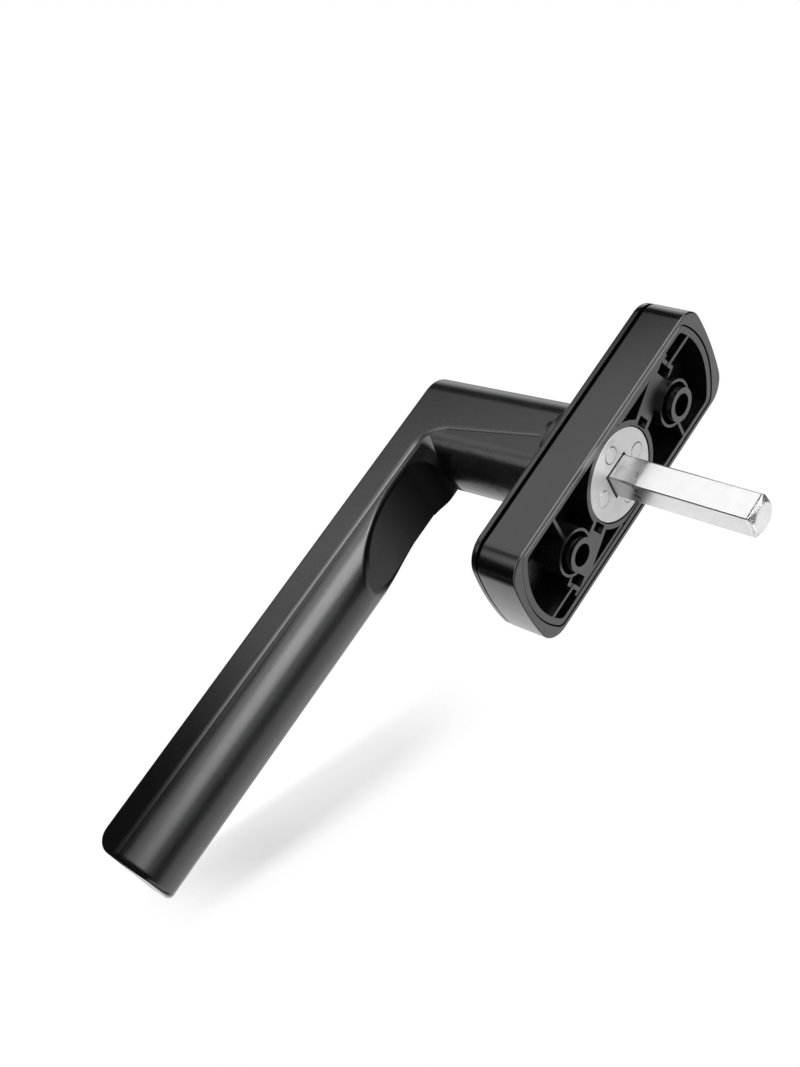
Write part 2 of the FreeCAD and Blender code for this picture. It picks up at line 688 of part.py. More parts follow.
sk = new_sketch(lever, "foot_section", "YZ_Plane")
flare_end = foot_front + S.foot_flare + S.weld
polygon(sk, [
    (-rotor_front, ZERO),
    (-rotor_front, S.hub_radius),
    (-foot_back, S.hub_radius),
    (-foot_back, S.foot_radius),
    (-foot_front, S.foot_radius),
    (-foot_front, S.foot_neck_radius),
    (-flare_end, S.foot_neck_radius),
    (-flare_end, ZERO),
], {4: S.foot_round, 5: S.foot_flare})
turned = lever.newObject("PartDesign::Revolution", "hub_and_foot")
turned.Profile = (sk, [""])
turned.ReferenceAxis = (sk, ["H_Axis"])
turned.Angle = 360
doc.recompute()

sk = new_sketch(lever, "socket_section", "XZ_Plane", rotor_front - S.weld)
square(sk, S.socket_side)
feature(lever, "Pocket", "socket", sk, S.socket_end - rotor_front + S.weld)
sk = new_sketch(lever, "rivet_hole_plan", "XZ_Plane", rotor_front - S.weld)
circle(sk, S.rivet_circle, ZERO, S.rivet_radius + S.rivet_gap)
hole = feature(lever, "Pocket", "rivet_hole", sk, S.rivet_depth + S.weld)
pattern(lever, "rivet_holes", [hole], 4)

joined = lever.newObject("PartDesign::Boolean", "joined_back")
joined.Type = "Fuse"
joined.Group = [grip]
doc.recompute()

# Spindle: square bar with a turned end, fast in the lever
spindle = new_body("spindle")
sk = new_sketch(spindle, "bar_section", "XZ_Plane", -S.spindle_reach)
square(sk, S.spindle_side)
feature(spindle, "Pad", "bar", sk, S.spindle_reach + S.spindle_start)


def long_edge(edge):
    return edge.BoundBox.YLength > S.spindle_reach.value


soften(spindle, "bar_edges", "Fillet", S.spindle_edge_round, long_edge)
sk = new_sketch(spindle, "point_section", "YZ_Plane")
bar_corner = S.spindle_side * 0.7071
polygon(sk, [
    (S.spindle_reach, S.spindle_end_radius),
    (S.spindle_reach - S.spindle_chamfer_length, bar_corner),
    (S.spindle_reach - S.spindle_chamfer_length, bar_corner + S.weld),
    (S.spindle_reach, bar_corner + S.weld),
])
point = spindle.newObject("PartDesign::Groove", "turned_point")
point.Profile = (sk, [""])
point.ReferenceAxis = (sk, ["H_Axis"])
point.Angle = 360
doc.recompute()

# Detent rotor: notched disc that turns with the lever and bears on the carrier's floor
rotor = new_body("detent_rotor")
sk = new_sketch(rotor, "rotor_plan", "XZ_Plane", rotor_back)
circle(sk, ZERO, ZERO, S.rotor_radius)
feature(rotor, "Pad", "rotor_disc", sk, rotor_front - rotor_back)
sk = new_sketch(rotor, "rotor_square", "XZ_Plane", rotor_back)
square(sk, S.rotor_hole_side)
feature(rotor, "Pocket", "rotor_hole", sk, rotor_front)
sk = new_sketch(rotor, "notch_plan", "XZ_Plane", rotor_back, turn=S.track_angle)
circle(sk, S.rotor_radius - S.notch_depth + S.notch_radius - S.channel_gap, ZERO, S.notch_radius)
notch = feature(rotor, "Pocket", "notch", sk, rotor_front)
sk = new_sketch(rotor, "rotor_rivet_plan", "XZ_Plane", rotor_back)
circle(sk, S.rivet_circle, ZERO, S.rivet_radius + S.rivet_gap)
hole = feature(rotor, "Pocket", "rotor_rivet_hole", sk, rotor_front)
pattern(rotor, "rotor_holes_and_notches", [notch, hole], 4)

# Retaining disc: bright plate over the rotor, with the rivets set in it
disc = new_body("retaining_disc")
sk = new_sketch(disc, "disc_plan", "XZ_Plane", S.disc_recess)
circle(sk, ZERO, ZERO, S.disc_radius)
feature(disc, "Pad", "disc_plate", sk, S.disc_thickness)
soften(disc, "disc_edge", "Fillet", S.disc_edge_round, flat_at(-S.disc_recess.value))
sk = new_sketch(disc, "disc_square", "XZ_Plane")
square(sk, S.disc_hole_side)
feature(disc, "Pocket", "disc_hole", sk, rotor_back + S.weld)
sk = new_sketch(disc, "disc_rivet_plan", "XZ_Plane")
circle(sk, S.rivet_circle, ZERO, S.rivet_radius + S.rivet_gap)
hole = feature(disc, "Pocket", "disc_rivet_hole", sk, rotor_back + S.weld)
pattern(disc, "disc_rivet_holes", [hole], 4)

rivets = []
for index, (x, z) in enumerate([(1, 0), (0, 1), (-1, 0), (0, -1)], start=1):
    rivet = new_body("rivet_%d" % index)
    head = S.disc_recess - S.rivet_proud
    sk = new_sketch(rivet, "rivet_plan_%d" % index, "XZ_Plane", head)
    circle(sk, S.rivet_circle * x, S.rivet_circle * z, S.rivet_radius)
    feature(rivet, "Pad", "rivet_shank_%d" % index, sk, rotor_front + S.rivet_depth - head)
    soften(rivet, "rivet_head_%d" % index, "Fillet", S.rivet_proud, flat_at(-head.value))
    rivets.append(rivet)

# Carrier: moulded inner part that seats the rotor and guides two spring-loaded detent balls
carrier = new_body("detent_carrier")
carrier_half_width = S.cavity_half_width - S.carrier_gap
carrier_half_length = S.cavity_half_length - S.carrier_gap
rib_height = floor_top - S.rib_recess
sk = new_sketch(carrier, "carrier_plan", "XZ_Plane", S.carrier_recess)
plate_outline(
    sk,
    carrier_half_width,
    carrier_half_length,
    S.cavity_end_radius,
    S.cavity_corner_radius - S.carrier_gap,
)
feature(carrier, "Pad", "carrier_block", sk, cavity_depth - S.carrier_recess)
soften(carrier, "carrier_edge", "Chamfer", S.carrier_bevel, flat_at(-S.carrier_recess.value))
sk = new_sketch(carrier, "hollow_plan", "XZ_Plane", S.carrier_recess)
plate_outline(
    sk,
    carrier_half_width - S.carrier_wall,
    carrier_half_length - S.carrier_end_wall,
    S.cavity_end_radius - S.carrier_end_wall,
    S.cavity_corner_radius - S.carrier_wall / 2,
)
feature(carrier, "Pocket", "hollow", sk, floor_top - S.carrier_recess)

sk = new_sketch(carrier, "guard_plan", "XZ_Plane", S.guard_recess)
circle(sk, ZERO, ZERO, S.disc_radius + S.guard_gap + S.guard_wall)
feature(carrier, "Pad", "guard", sk, floor_top - S.guard_recess + S.carrier_floor / 2)

sk = new_sketch(carrier, "track_plan", "XZ_Plane", S.guard_recess, turn=S.track_angle)
flare = S.track_half_width + S.track_flare
polygon(sk, [
    (S.disc_radius, -S.track_half_width),
    (S.track_flare_start, -flare),
    (S.track_end, -flare),
    (S.track_end, S.track_half_width),
    (S.disc_radius, S.track_half_width),
])
block = feature(carrier, "Pad", "track", sk, floor_top - S.guard_recess + S.carrier_floor / 2)

sk = new_sketch(carrier, "cheek_plan", "XZ_Plane", S.guard_recess)
cheek_outer = carrier_half_width - S.carrier_wall / 2
polygon(sk, [
    (S.cheek_offset, S.cheek_start),
    (cheek_outer, S.cheek_start),
    (cheek_outer, S.cheek_end),
    (S.cheek_offset, S.cheek_end),
])
cheek = feature(carrier, "Pad", "cheek", sk, floor_top - S.guard_recess + S.carrier_floor / 2)

sk = new_sketch(carrier, "long_rib_plan", "XZ_Plane", S.rib_recess)
rib_half = S.rib_thickness / 2
rib_end = carrier_half_length - S.carrier_end_wall
polygon(sk, [
    (S.long_rib_offset - rib_half, S.cheek_end - S.carrier_end_wall),
    (S.long_rib_offset + rib_half, S.cheek_end - S.carrier_end_wall),
    (S.long_rib_offset + rib_half, rib_end - S.weld),
    (S.long_rib_offset - rib_half, rib_end - S.weld),
])
long_rib = feature(carrier, "Pad", "long_rib", sk, rib_height + S.carrier_floor / 2)

sk = new_sketch(carrier, "cross_rib_plan", "XZ_Plane", S.rib_recess)
polygon(sk, [
    (-cheek_outer, half_spacing - rib_half),
    (-S.lug_radius - S.lug_gap - rib_half, half_spacing - rib_half),
    (-S.lug_radius - S.lug_gap - rib_half, half_spacing + rib_half),
    (-cheek_outer, half_spacing + rib_half),
])
cross_rib = feature(carrier, "Pad", "cross_rib", sk, rib_height + S.carrier_floor / 2)

sk = new_sketch(carrier, "collar_plan", "XZ_Plane", -S.collar_reach)
circle(sk, ZERO, half_spacing, S.collar_radius)
collar = feature(carrier, "Pad", "collar", sk, S.collar_reach + floor_top + S.carrier_floor / 2)

sk = new_sketch(carrier, "collar_bore_plan", "XZ_Plane", -S.collar_reach)
circle(sk, ZERO, half_spacing, S.collar_radius - S.collar_wall)
collar_bore = feature(carrier, "Pocket", "collar_bore", sk, S.collar_reach + floor_top)
sk = new_sketch(carrier, "lug_hole_plan", "XZ_Plane")
circle(sk, ZERO, half_spacing, S.lug_radius + S.lug_gap)
lug_hole = feature(carrier, "Pocket", "lug_hole", sk, cavity_depth + S.weld)

ball_out = S.rotor_radius + S.ball_clear + S.ball_radius
bore_half = S.ball_radius + S.channel_gap
sk = new_sketch(carrier, "channel_plan", "XZ_Plane", S.ball_depth - bore_half, turn=S.track_angle)
polygon(sk, [
    (S.rotor_radius, -bore_half),
    (S.pocket_end, -bore_half),
    (S.pocket_end, bore_half),
    (S.rotor_radius, bore_half),
])
channel = feature(carrier, "Pocket", "spring_channel", sk, bore_half * 2)
sk = new_sketch(carrier, "window_plan", "XZ_Plane", turn=S.track_angle)
window_start = S.disc_radius + S.guard_gap + S.guard_wall / 4
polygon(sk, [
    (window_start, -S.window_half_width),
    (S.window_end, -S.window_half_width),
    (S.window_end, S.window_half_width),
    (window_start, S.window_half_width),
])
window = feature(carrier, "Pocket", "ball_window", sk, S.ball_depth)
sk = new_sketch(carrier, "pocket_plan", "XZ_Plane", turn=S.track_angle)
polygon(sk, [
    (S.pocket_start, -S.pocket_half_width),
    (S.pocket_end, -S.pocket_half_width),
    (S.pocket_end, S.pocket_half_width),
    (S.pocket_start, S.pocket_half_width),
])
pocket = feature(carrier, "Pocket", "spring_pocket", sk, S.ball_depth + bore_half)
parts = [block, cheek, long_rib, cross_rib, collar, collar_bore, lug_hole, channel, window, pocket]
pattern(carrier, "both_halves", parts, 2)

sk = new_sketch(carrier, "guard_bore_plan", "XZ_Plane")
circle(sk, ZERO, ZERO, S.disc_radius + S.guard_gap)
feature(carrier, "Pocket", "guard_bore", sk, floor_top)
sk = new_sketch(carrier, "hub_hole_plan", "XZ_Plane")
circle(sk, ZERO, ZERO, S.hub_radius + S.carrier_hole_gap)
feature(carrier, "Pocket", "hub_hole", sk, cavity_depth + S.weld)


def cosine(angle):
    return Size(math.cos(math.radians(angle.value)), "cos(%s)" % angle.text)


def sine(angle):
    return Size(math.sin(math.radians(angle.value)), "sin(%s)" % angle.text)


def locate(thing, x, y, z):
    for axis, size in (("x", x), ("y", y), ("z", z)):
        setattr(thing.Placement.Base, axis, size.value)
        thing.setExpression("Placement.Base." + axis, size.text)


# Detent: a ball and a coil spring in each channel
loose = []
for index, direction in ((1, S.track_angle), (2, S.track_angle + 180)):
    ball = doc.addObject("Part::Sphere", "detent_ball_%d" % index)
    ball.Label = "detent_ball_%d" % index
    bind(ball, "Radius", S.ball_radius)
    locate(ball, ball_out * cosine(direction), -S.ball_depth, ball_out * sine(direction))
    loose.append(ball)

    coil_start = ball_out + S.ball_radius + S.spring_gap + S.spring_wire
    coil_length = S.pocket_end - S.spring_gap - S.spring_wire - coil_start
    helix = doc.addObject("Part::Helix", "coil_line_%d" % index)
    bind(helix, "Radius", S.spring_radius)
    bind(helix, "Pitch", S.spring_pitch)
    bind(helix, "Height", coil_length)
    wire = doc.addObject("Part::Circle", "coil_wire_%d" % index)
    bind(wire, "Radius", S.spring_wire)
    wire.Placement.Rotation = FreeCAD.Rotation(V(1, 0, 0), 90)
    wire.setExpression("Placement.Base.x", S.spring_radius.text)
    spring = doc.addObject("Part::Sweep", "detent_spring_%d" % index)
    spring.Label = "detent_spring_%d" % index
    spring.Sections = [wire]
    spring.Spine = (helix, [])
    spring.Solid = True
    spring.Frenet = True
    doc.recompute()
    spring.Placement.Rotation = FreeCAD.Rotation(V(0, 1, 0), 90 - direction.value)
    locate(spring, coil_start * cosine(direction), -S.ball_depth, coil_start * sine(direction))
    loose.append(spring)
doc.recompute()

pieces = [housing, cover, bushing, carrier, lever, spindle, rotor, disc] + rivets + loose
for item in doc.Objects:
    for state in item.State:
        if state in ("Invalid", "Error"):
            raise RuntimeError("%s is %s" % (item.Label, state))
os.makedirs("parts", exist_ok=True)
for piece in pieces:
    shape = piece.Shape
    if shape.isNull() or not shape.isValid() or len(shape.Solids) != 1:
        raise RuntimeError("%s is not one sound solid" % piece.Label)
    shape.exportStep("parts/%s.step" % piece.Label)
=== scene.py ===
# %% [markdown]
# # A lever handle on its backplate
# The handle is a black cast lever on a long plate, seen from the side that is screwed to the door.
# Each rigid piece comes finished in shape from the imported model, so this script gives the pieces their
# surfaces, adds the few forms that a solid leaves out, and lights them as a small object on a white table.

# %% Load the model
import json
import math

import bmesh
import bpy
from mathutils import Matrix, Vector


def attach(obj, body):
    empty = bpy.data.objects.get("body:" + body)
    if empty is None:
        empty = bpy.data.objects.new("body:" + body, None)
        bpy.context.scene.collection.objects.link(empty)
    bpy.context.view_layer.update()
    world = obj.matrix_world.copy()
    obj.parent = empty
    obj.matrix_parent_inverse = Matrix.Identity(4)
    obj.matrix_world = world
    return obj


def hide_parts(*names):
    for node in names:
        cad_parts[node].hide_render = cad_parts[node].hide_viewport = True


MM = 0.001

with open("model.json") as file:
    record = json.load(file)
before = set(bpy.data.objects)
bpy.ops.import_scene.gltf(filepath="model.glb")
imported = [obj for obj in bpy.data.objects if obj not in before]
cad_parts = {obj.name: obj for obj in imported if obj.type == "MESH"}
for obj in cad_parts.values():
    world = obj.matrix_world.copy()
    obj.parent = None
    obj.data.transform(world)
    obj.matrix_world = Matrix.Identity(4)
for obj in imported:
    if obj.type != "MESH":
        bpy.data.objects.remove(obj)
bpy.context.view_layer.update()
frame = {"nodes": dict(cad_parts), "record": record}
bodies = frame["record"]["behaviour"]["bodies"]
body_of_node = {node: body for body, nodes in bodies.items() for node in nodes}

# %% [markdown]
# ## The camera
# The handle is seen from behind, from its right and a little from below, with the camera rolled. A camera
# matrix is three columns: what points right, what points up, and what points back towards the viewer.
# Writing them down is surer than turning the camera by angles, because a roll is easy to get wrong. The
# picture is 800 wide and 1067 high, and the focal length and the middle are told in its picture elements.

# %% Place the camera
WIDE, HIGH = 800, 1067
FOCAL = 1507.48
MIDDLE_ACROSS, MIDDLE_DOWN = 300.38, 553.93  # where the camera's axis meets the picture
EYE = Vector((255.375, 173.361, -143.193)) * MM
SENSOR = 36.0

right = Vector((-0.43567, 0.70001, 0.56584))
up = Vector((0.56015, -0.28123, 0.77920))
back = right.cross(up).normalized()


def linked(name, data):
    """A new object in the scene."""
    item = bpy.data.objects.new(name, data)
    bpy.context.scene.collection.objects.link(item)
    return item


camera_data = bpy.data.cameras.new("photo_camera")
camera_data.sensor_fit = "HORIZONTAL"
camera_data.sensor_width = SENSOR
camera_data.lens = FOCAL / WIDE * SENSOR
camera_data.shift_x = (WIDE / 2 - MIDDLE_ACROSS) / WIDE
camera_data.shift_y = (MIDDLE_DOWN - HIGH / 2) / WIDE
camera_data.clip_start = 0.01
camera_data.clip_end = 50.0
camera = linked("photo_camera", camera_data)
camera.matrix_world = Matrix.Translation(EYE) @ Matrix((right, up, back)).transposed().to_4x4()
bpy.context.scene.camera = camera
bpy.context.scene.view_settings.view_transform = "Standard"
print("camera looks along", [round(v, 3) for v in -back])

# %% [markdown]
# ## Sums on sockets
# A material is a net of nodes, and a formula in it soon takes ten Math nodes. A small class wraps a
# socket and overloads the operators, so that a formula reads as a formula and adds its nodes by itself.
# Every other node comes from one method of the board that the wires belong to.


# %% Wires and boards
class Wire:
    """One output socket, used in sums as if it were a number."""

    def __init__(self, board, socket):
        self.board = board
        self.socket = socket

    def __add__(self, other):
        return maths(self.board, "ADD", self, other)

    def __sub__(self, other):
        return maths(self.board, "SUBTRACT", self, other)

    def __rsub__(self, other):
        return maths(self.board, "SUBTRACT", other, self)

    def __mul__(self, other):
        return maths(self.board, "MULTIPLY", self, other)

    def __truediv__(self, other):
        return maths(self.board, "DIVIDE", self, other)

    def __pow__(self, other):
        return maths(self.board, "POWER", self, other)

    def __gt__(self, other):
        return maths(self.board, "GREATER_THAN", self, other)


class Outputs:
    """The output sockets of a node, by number or name."""

    def __init__(self, board, node):
        self.board = board
        self.node = node

    def __getitem__(self, key):
        return Wire(self.board, self.node.outputs[key])


class Board:
    """A node tree that is being wired."""

    def __init__(self, tree):
        self.tree = tree

    def add(self, kind, settings=None, sockets=None):
        node = self.tree.nodes.new(kind)
        for name, value in (settings or {}).items():
            setattr(node, name, value)
        for key, value in (sockets or {}).items():
            self.set(node.inputs[key], value)
        return Outputs(self, node)

    def set(self, socket, value):
        if isinstance(value, Wire):
            self.tree.links.new(value.socket, socket)
        else:
            socket.default_value = value


# %% [markdown]
# ## Words for common nodes
# These short functions stand for nodes that come up again and again: a sum, a soft step between two
# values, a noise, a mix of two colours. With them a surface can be told in a few lines.


# %% Common nodes
def maths(board, operation, first, second=0.0):
    return board.add("ShaderNodeMath", {"operation": operation}, {0: first, 1: second})[0]


def larger(board, first, second):
    return maths(board, "MAXIMUM", first, second)


def ease(board, value, start, end):
    """0 at the start, 1 at the end, and a soft step between; the start may be the larger one."""
    ends = {"Value": value, "From Min": start, "From Max": end}
    return board.add("ShaderNodeMapRange", {"interpolation_type": "SMOOTHSTEP"}, ends)[0]


def noise(board, place, scale, detail):
    return board.add("ShaderNodeTexNoise", {}, {"Vector": place, "Scale": scale, "Detail": detail})[0]


def stretched(board, place, scale):
    return board.add("ShaderNodeMapping", {}, {"Vector": place, "Scale": scale})[0]


def split_mm(board, place):
    """The three coordinates of a place, in mm."""
    axes = board.add("ShaderNodeSeparateXYZ", {}, {0: place})
    return [axes[i] / MM for i in range(3)]


def distance(board, place, point):
    return board.add("ShaderNodeVectorMath", {"operation": "DISTANCE"}, {0: place, 1: tuple(point)})["Value"]


def mixed_colour(board, factor, first, second):
    return board.add("ShaderNodeMix", {"data_type": "RGBA"}, {0: factor, 6: first, 7: second})[2]


def bumped(board, height_mm):
    """The normal of a surface with this height."""
    return board.add("ShaderNodeBump", {}, {"Height": height_mm * MM, "Distance": 1.0})[0]


def grey(level):
    """An even grey as a colour, from the level a screen shows (0 to 255)."""
    c = level / 255
    linear = c / 12.92 if c <= 0.04045 else ((c + 0.055) / 1.055) ** 2.4
    return (linear, linear, linear, 1.0)


def scaled(colour, factor):
    return (*(factor * c for c in colour[:3]), 1.0)


def new_board(name):
    """A material with a bare surface shader, its board, its shader and the place on the object."""
    material = bpy.data.materials.new(name)
    material.use_nodes = True
    board = Board(material.node_tree)
    shader = next(n for n in material.node_tree.nodes if n.type == "BSDF_PRINCIPLED")
    return material, board, shader, board.add("ShaderNodeTexCoord")["Object"]


def plug(board, shader, **values):
    """Set or link sockets of the surface shader; an underscore in a name stands for a space."""
    for name, value in values.items():
        board.set(shader.inputs[name.replace("_", " ")], value)


def blend_shade_matt(board, shader, factor, **matt_values):
    """End a material in a mix of its shader and a dark matt one, which paints shade in."""
    matt = board.add("ShaderNodeBsdfPrincipled")
    plug(board, matt.node, Roughness=0.7, **matt_values)
    sockets = {0: factor, 1: Wire(board, shader.outputs[0]), 2: matt[0]}
    output = next(n for n in board.tree.nodes if n.type == "OUTPUT_MATERIAL")
    board.set(output.inputs["Surface"], board.add("ShaderNodeMixShader", {}, sockets)[0])


# %% [markdown]
# ## Black powder coat
# Powder coat is baked dust. It flows out to a skin with a very fine, soft grain, and its sheen is low and
# even. Two noises make the height: a fine one for the grain and a broad one for the slow swell of the
# coat. Both feed one Bump node. The colour is nearly the same all over, with a trace of paler specks.
#
# On the lever, shade is painted in as a darker, matt coat: in the corner and along the rim of the thumb hollow,
# on the lower end of the side faces and at the tip.

# %% Powder coat
HOLLOW_HALF_WIDTH = 9.33
HOLLOW_TOP = 22.0  # below the axis; from here down the hollow gets narrower
HOLLOW_LENGTH = 25.8
FADE_TOP = 20.0  # below the axis; the painted shade in the corner of the hollow fades from here
FADE_LENGTH = 26.0
PALE_SPECK = 4.0  # how much paler a speck is than the coat


def painted_shade_places(board, place):
    """How much painted shade the lever's coat gets: 0 for the plain coat, 1 for the dark matt one. All lengths are in
    mm.

    Seen from the back the hollow is a tongue. The number q is 1 on its outline and less inside.
    """
    x, y, z = split_mm(board, place)
    drop = z * -1.0
    across = x / HOLLOW_HALF_WIDTH
    down = larger(board, (drop - HOLLOW_TOP) / HOLLOW_LENGTH, 0.0)
    q = across * across + down * down * down
    steps = larger(board, drop - FADE_TOP, 0.0) / FADE_LENGTH
    # Painted shade: dark in the corner of the hollow, fading downwards, and a dark band along its rim.
    corner = ease(board, q, 1.0, 0.93) * larger(board, 0.98 - (steps ** 1.5) * 0.62, 0.0)
    rim = ease(board, q, 1.06, 1.0) * ease(board, q, 0.62, 0.85) * ease(board, z, -47.5, -42.0)
    hollow = larger(board, corner, rim * 0.97)
    hollow = hollow * ease(board, z, -10.6, -12.4) * ease(board, y, -46.6, -45.8) * ease(board, y, -37.0, -38.0)
    # Painted shade on the lower end of the side faces and at the tip.
    side_face = ease(board, maths(board, "ABSOLUTE", x), 9.3, 9.6) * ease(board, y, -46.7, -47.4)
    side_face = side_face * ease(board, z, -72.0, -124.0)
    tip = ease(board, x, 3.6, 5.4) * ease(board, z, -127.7, -128.5)
    return larger(board, hollow, larger(board, side_face * 0.85, tip * 0.96))


def powder_coat(name, colour, roughness, grain_mm, grain_height_mm, swell_height_mm, matt=None):
    material, board, shader, place = new_board(name)
    grain = noise(board, place, 1000 / grain_mm, 2.0)
    swell = noise(board, place, 160.0, 1.0)
    bump = bumped(board, grain * grain_height_mm + swell * swell_height_mm)
    speck = noise(board, place, 5200.0, 0.0) > 0.70
    tint = mixed_colour(board, speck, colour, scaled(colour, PALE_SPECK))
    plug(board, shader, Base_Color=tint, Roughness=swell * 0.06 + (roughness - 0.03), Normal=bump)
    if matt:
        # The dark matt shader paints the shade that the places above ask for.
        blend_shade_matt(board, shader, matt(board, place), Base_Color=grey(2), Specular_IOR_Level=0.03, Normal=bump)
    return material


lever_coat = powder_coat("lever_powder_coat", grey(7), 0.28, 0.34, 0.009, 0.008, painted_shade_places)
plate_coat = powder_coat("backplate_powder_coat", grey(7), 0.20, 0.16, 0.0006, 0.004)
cover_coat = powder_coat("cover_powder_coat", grey(7), 0.22, 0.16, 0.0006, 0.004)
print("coats:", lever_coat.name, plate_coat.name, cover_coat.name)

# %% [markdown]
# ## Moulded black plastic
# The inner part is injection moulded. Its skin copies the tool: smooth and rather glossy, with faint
# flow streaks and a slight unevenness where the wall shrank over the ribs. Down in the pockets shade is
# painted in: the skin turns darker and matt with depth, but for a round spot on the floor and a few specks.

# %% Moulded plastic
SHADE_FROM, SHADE_TO = 0.7, 2.2  # depth below the back rim where the painted shade starts and where it is full, mm
UNSHADED_SPOT = Vector((-1.6, -6.3, -29.6)) * MM
UNSHADED_OUTER, UNSHADED_INNER = 5.6 * MM, 2.4 * MM


def painted_depth_shade(board, place):
    """How much shade is painted into the pocket: 0 near the rim, 1 in the depth; less on a round spot and on specks
    left clear.
    """
    _, y, z = split_mm(board, place)
    sockets = {"Value": y * -1.0, "From Min": SHADE_FROM, "From Max": SHADE_TO}
    depth = board.add("ShaderNodeMapRange", {}, sockets)[0]
    # The painted shade is left off a round spot on the floor and a few specks.
    near = ease(board, distance(board, place, UNSHADED_SPOT), UNSHADED_OUTER, UNSHADED_INNER)
    spot_left_clear = ease(board, near + noise(board, place, 700.0, 2.0) * 0.5, 0.70, 0.78)
    specks_left_clear = (noise(board, place, 1100.0, 1.0) > 0.685) * ease(board, z, -29.0, -33.0)
    return depth * (1.0 - larger(board, spot_left_clear, specks_left_clear))


def moulded(name, colour, roughness, matt=None):
    material, board, shader, place = new_board(name)
    streak = noise(board, stretched(board, place, (1.0, 1.0, 0.25)), 420.0, 3.0)
    sink = noise(board, place, 210.0, 0.0)
    bump = bumped(board, streak * 0.002 + sink * 0.01)
    plug(board, shader, Base_Color=colour, Roughness=streak * 0.16 + (roughness - 0.08), Normal=bump)
    if matt:
        # The dark matt shader paints the shade of the pockets.
        blend_shade_matt(board, shader, matt(board, place), Base_Color=grey(3), Specular_IOR_Level=0.08, Normal=bump)
    return material


# The carrier gets painted shade in its pockets.
carrier_plastic = moulded("carrier_plastic", grey(8), 0.30, painted_depth_shade)
bushing_plastic = moulded("bushing_plastic", grey(8), 0.42)
print("plastics:", carrier_plastic.name, bushing_plastic.name)

# %% [markdown]
# ## Bright metals
# The disc, the rivets and the bar are zinc plated: a bright, slightly milky metal. A drawn bar shows fine
# lines along its length, and a punched disc shows a soft cloudiness. One recipe serves all the metals,
# because only the stretch and the height of its noise differ. Dark lines round the rivets and painted shade
# on the bar come on top as a darker tint, and tool marks as a height.

# %% Metals
RIVET_CIRCLE = 7.06  # from the axis to the middle of a rivet, mm
# The colour of the dark lines round the rivets and of the painted shade on the bar.
DARK_MARK_AND_SHADE = grey(60)


def rivet_marks(board, place):
    """A dark, broken line round each of the four rivets, where the punch pressed the rim down."""
    x, _, z = split_mm(board, place)
    x, z = maths(board, "ABSOLUTE", x), maths(board, "ABSOLUTE", z)
    out = larger(board, x, z) - RIVET_CIRCLE
    beside = maths(board, "MINIMUM", x, z)
    far = (out * out + beside * beside) ** 0.5
    line = ease(board, far, 1.80, 1.90) * ease(board, far, 2.16, 2.04)
    return line * ease(board, noise(board, place, 260.0, 1.0), 0.38, 0.50)


def bar_painted_shade(board, place):
    """Painted shade: the bar is darker on one face near the disc, with a ragged darker band where that length ends.
    """
    x, y, _ = split_mm(board, place)
    ragged = noise(board, place, 900.0, 3.0)
    reach = y + ragged * 1.6
    face_shade = ease(board, reach, 7.6, 6.6) * (x > 3.2) * 0.52
    ragged_shade = ease(board, reach, 5.6, 6.3) * ease(board, reach, 7.9, 7.1) * ease(board, ragged, 0.50, 0.60)
    return larger(board, face_shade, ragged_shade * 0.75)


def turned_end(board, place):
    """Rough tool marks on the turned end of the bar, as a height in mm."""
    _, y, _ = split_mm(board, place)
    return noise(board, place, 1500.0, 2.0) * ease(board, y, 33.2, 33.6) * ease(board, y, 34.64, 34.55) * 0.16


def metal(name, colour, roughness, line_mm, height_mm, cloud=0.0, stretch=None, marks_and_shade=None, nicks=None):
    material, board, shader, place = new_board(name)
    drawn = stretched(board, place, stretch) if stretch else place
    height = noise(board, drawn, 1000 / line_mm, 2.0) * height_mm
    if nicks:
        height = height + nicks(board, place)
    haze = noise(board, place, 330.0, 3.0)
    tint = mixed_colour(board, haze, colour, scaled(colour, 1 - cloud))
    if marks_and_shade:
        # The tint turns darker on the rivet lines and on the bar's painted shade.
        tint = mixed_colour(board, marks_and_shade(board, place), tint, DARK_MARK_AND_SHADE)
    rough = haze * 0.12 + (roughness - 0.06)
    plug(board, shader, Base_Color=tint, Metallic=1.0, Roughness=rough, Normal=bumped(board, height))
    return material


along_bar = (1.0, 0.04, 1.0)
disc_plate = metal("disc_zinc_plate", grey(184), 0.52, 0.5, 0.004, 0.12, marks_and_shade=rivet_marks)
# The bar gets painted shade near the disc.
bar_plate = metal("bar_zinc_plate", grey(196), 0.30, 0.35, 0.006, 0.08, along_bar, bar_painted_shade, turned_end)
ball_steel = metal("ball_steel", grey(235), 0.30, 0.4, 0.0005)
spring_wire = metal("spring_wire", grey(190), 0.28, 0.3, 0.002)
rotor_zinc = metal("rotor_die_cast_zinc", grey(165), 0.5, 0.4, 0.006, 0.2)

finish_of = {
    "housing": plate_coat,
    "front_cover": cover_coat,
    "lever": lever_coat,
    "neck_bushing": bushing_plastic,
    "detent_carrier": carrier_plastic,
    "detent_rotor": rotor_zinc,
    "retaining_disc": disc_plate,
    "spindle": bar_plate,
    "detent_ball_1": ball_steel,
    "detent_ball_2": ball_steel,
    "rivet_1": disc_plate,
    "rivet_2": disc_plate,
    "rivet_3": disc_plate,
    "rivet_4": disc_plate,
}
print("nodes with a finish:", len(finish_of))

# %% [markdown]
# ## Smooth skins
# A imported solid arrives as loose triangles, and each one shades flat. On a copy the doubled corners are
# merged, the faces are set smooth, and only edges that turn by more than a set angle stay sharp. Normals
# weighted by face area keep the big flats flat beside their small roundings.
#
# The rim of the thumb hollow is sharp in the solid and soft on the casting, so it is rounded on the copy.

